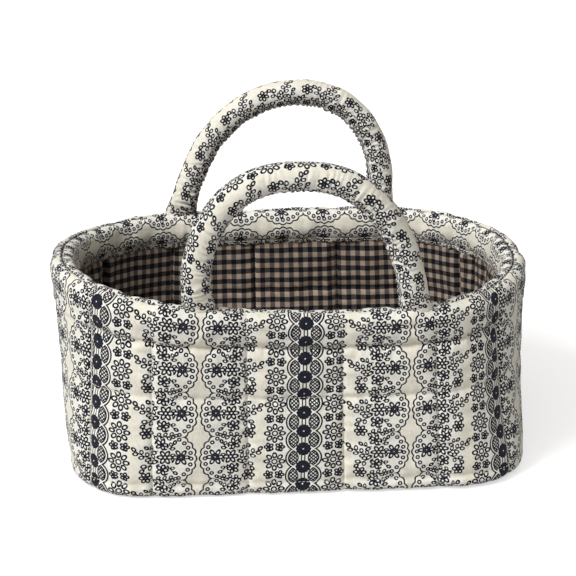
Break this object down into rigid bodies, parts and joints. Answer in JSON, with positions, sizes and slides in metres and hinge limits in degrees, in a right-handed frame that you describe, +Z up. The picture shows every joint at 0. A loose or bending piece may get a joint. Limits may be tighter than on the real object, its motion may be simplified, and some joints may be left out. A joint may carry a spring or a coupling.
{
  "type": "fabric storage basket",
  "caption": "Soft oval storage basket of quilted printed cotton with a checked lining, a thick padded rim and padded carrying handles that fold down.",
  "frame": {"origin": "centre of the resting face, on the surface it stands on", "axes": "+X along the long side, +Z up through the mouth, -Y is the front with the nearer handle"},
  "size_m": [0.3792, 0.2706, 0.2684],
  "materials": {
    "printed_cotton": "plain-weave cotton, cream with a navy lace-stripe print",
    "gingham_cotton": "plain-weave cotton in navy and taupe checks",
    "wadding": "soft fibre wadding, hidden"
  },
  "bodies": {
    "basket": {"outer_front_panel": "printed_cotton", "outer_back_panel": "printed_cotton", "outer_base_panel": "printed_cotton", "wall_wadding_front": "wadding", "wall_wadding_back": "wadding", "base_wadding": "wadding", "lining_front": "gingham_cotton", "lining_back": "gingham_cotton", "lining_base": "gingham_cotton", "rim_facing_front": "printed_cotton", "rim_facing_back": "printed_cotton", "rim_filler_front": "wadding", "rim_filler_back": "wadding", "front_handle_left_tab": "printed_cotton", "front_handle_right_tab": "printed_cotton", "rear_handle_left_tab": "printed_cotton", "rear_handle_right_tab": "printed_cotton"},
    "front_handle": {"front_handle_cover": "printed_cotton", "front_handle_filler": "wadding"},
    "rear_handle": {"rear_handle_cover": "printed_cotton", "rear_handle_filler": "wadding"}
  },
  "joints": [
    {"name": "front_handle_fold", "type": "hinge", "parent": "basket", "child": "front_handle", "pos_m": [0.0045, -0.115, 0.1683], "axis": [1, 0, 0], "range_deg": [-96, 84], "stiffness_Nm_per_rad": 0.1},
    {"name": "rear_handle_fold", "type": "hinge", "parent": "basket", "child": "rear_handle", "pos_m": [0.0015, 0.115, 0.1683], "axis": [1, 0, 0], "range_deg": [-84, 96], "stiffness_Nm_per_rad": 0.1}
  ]
}
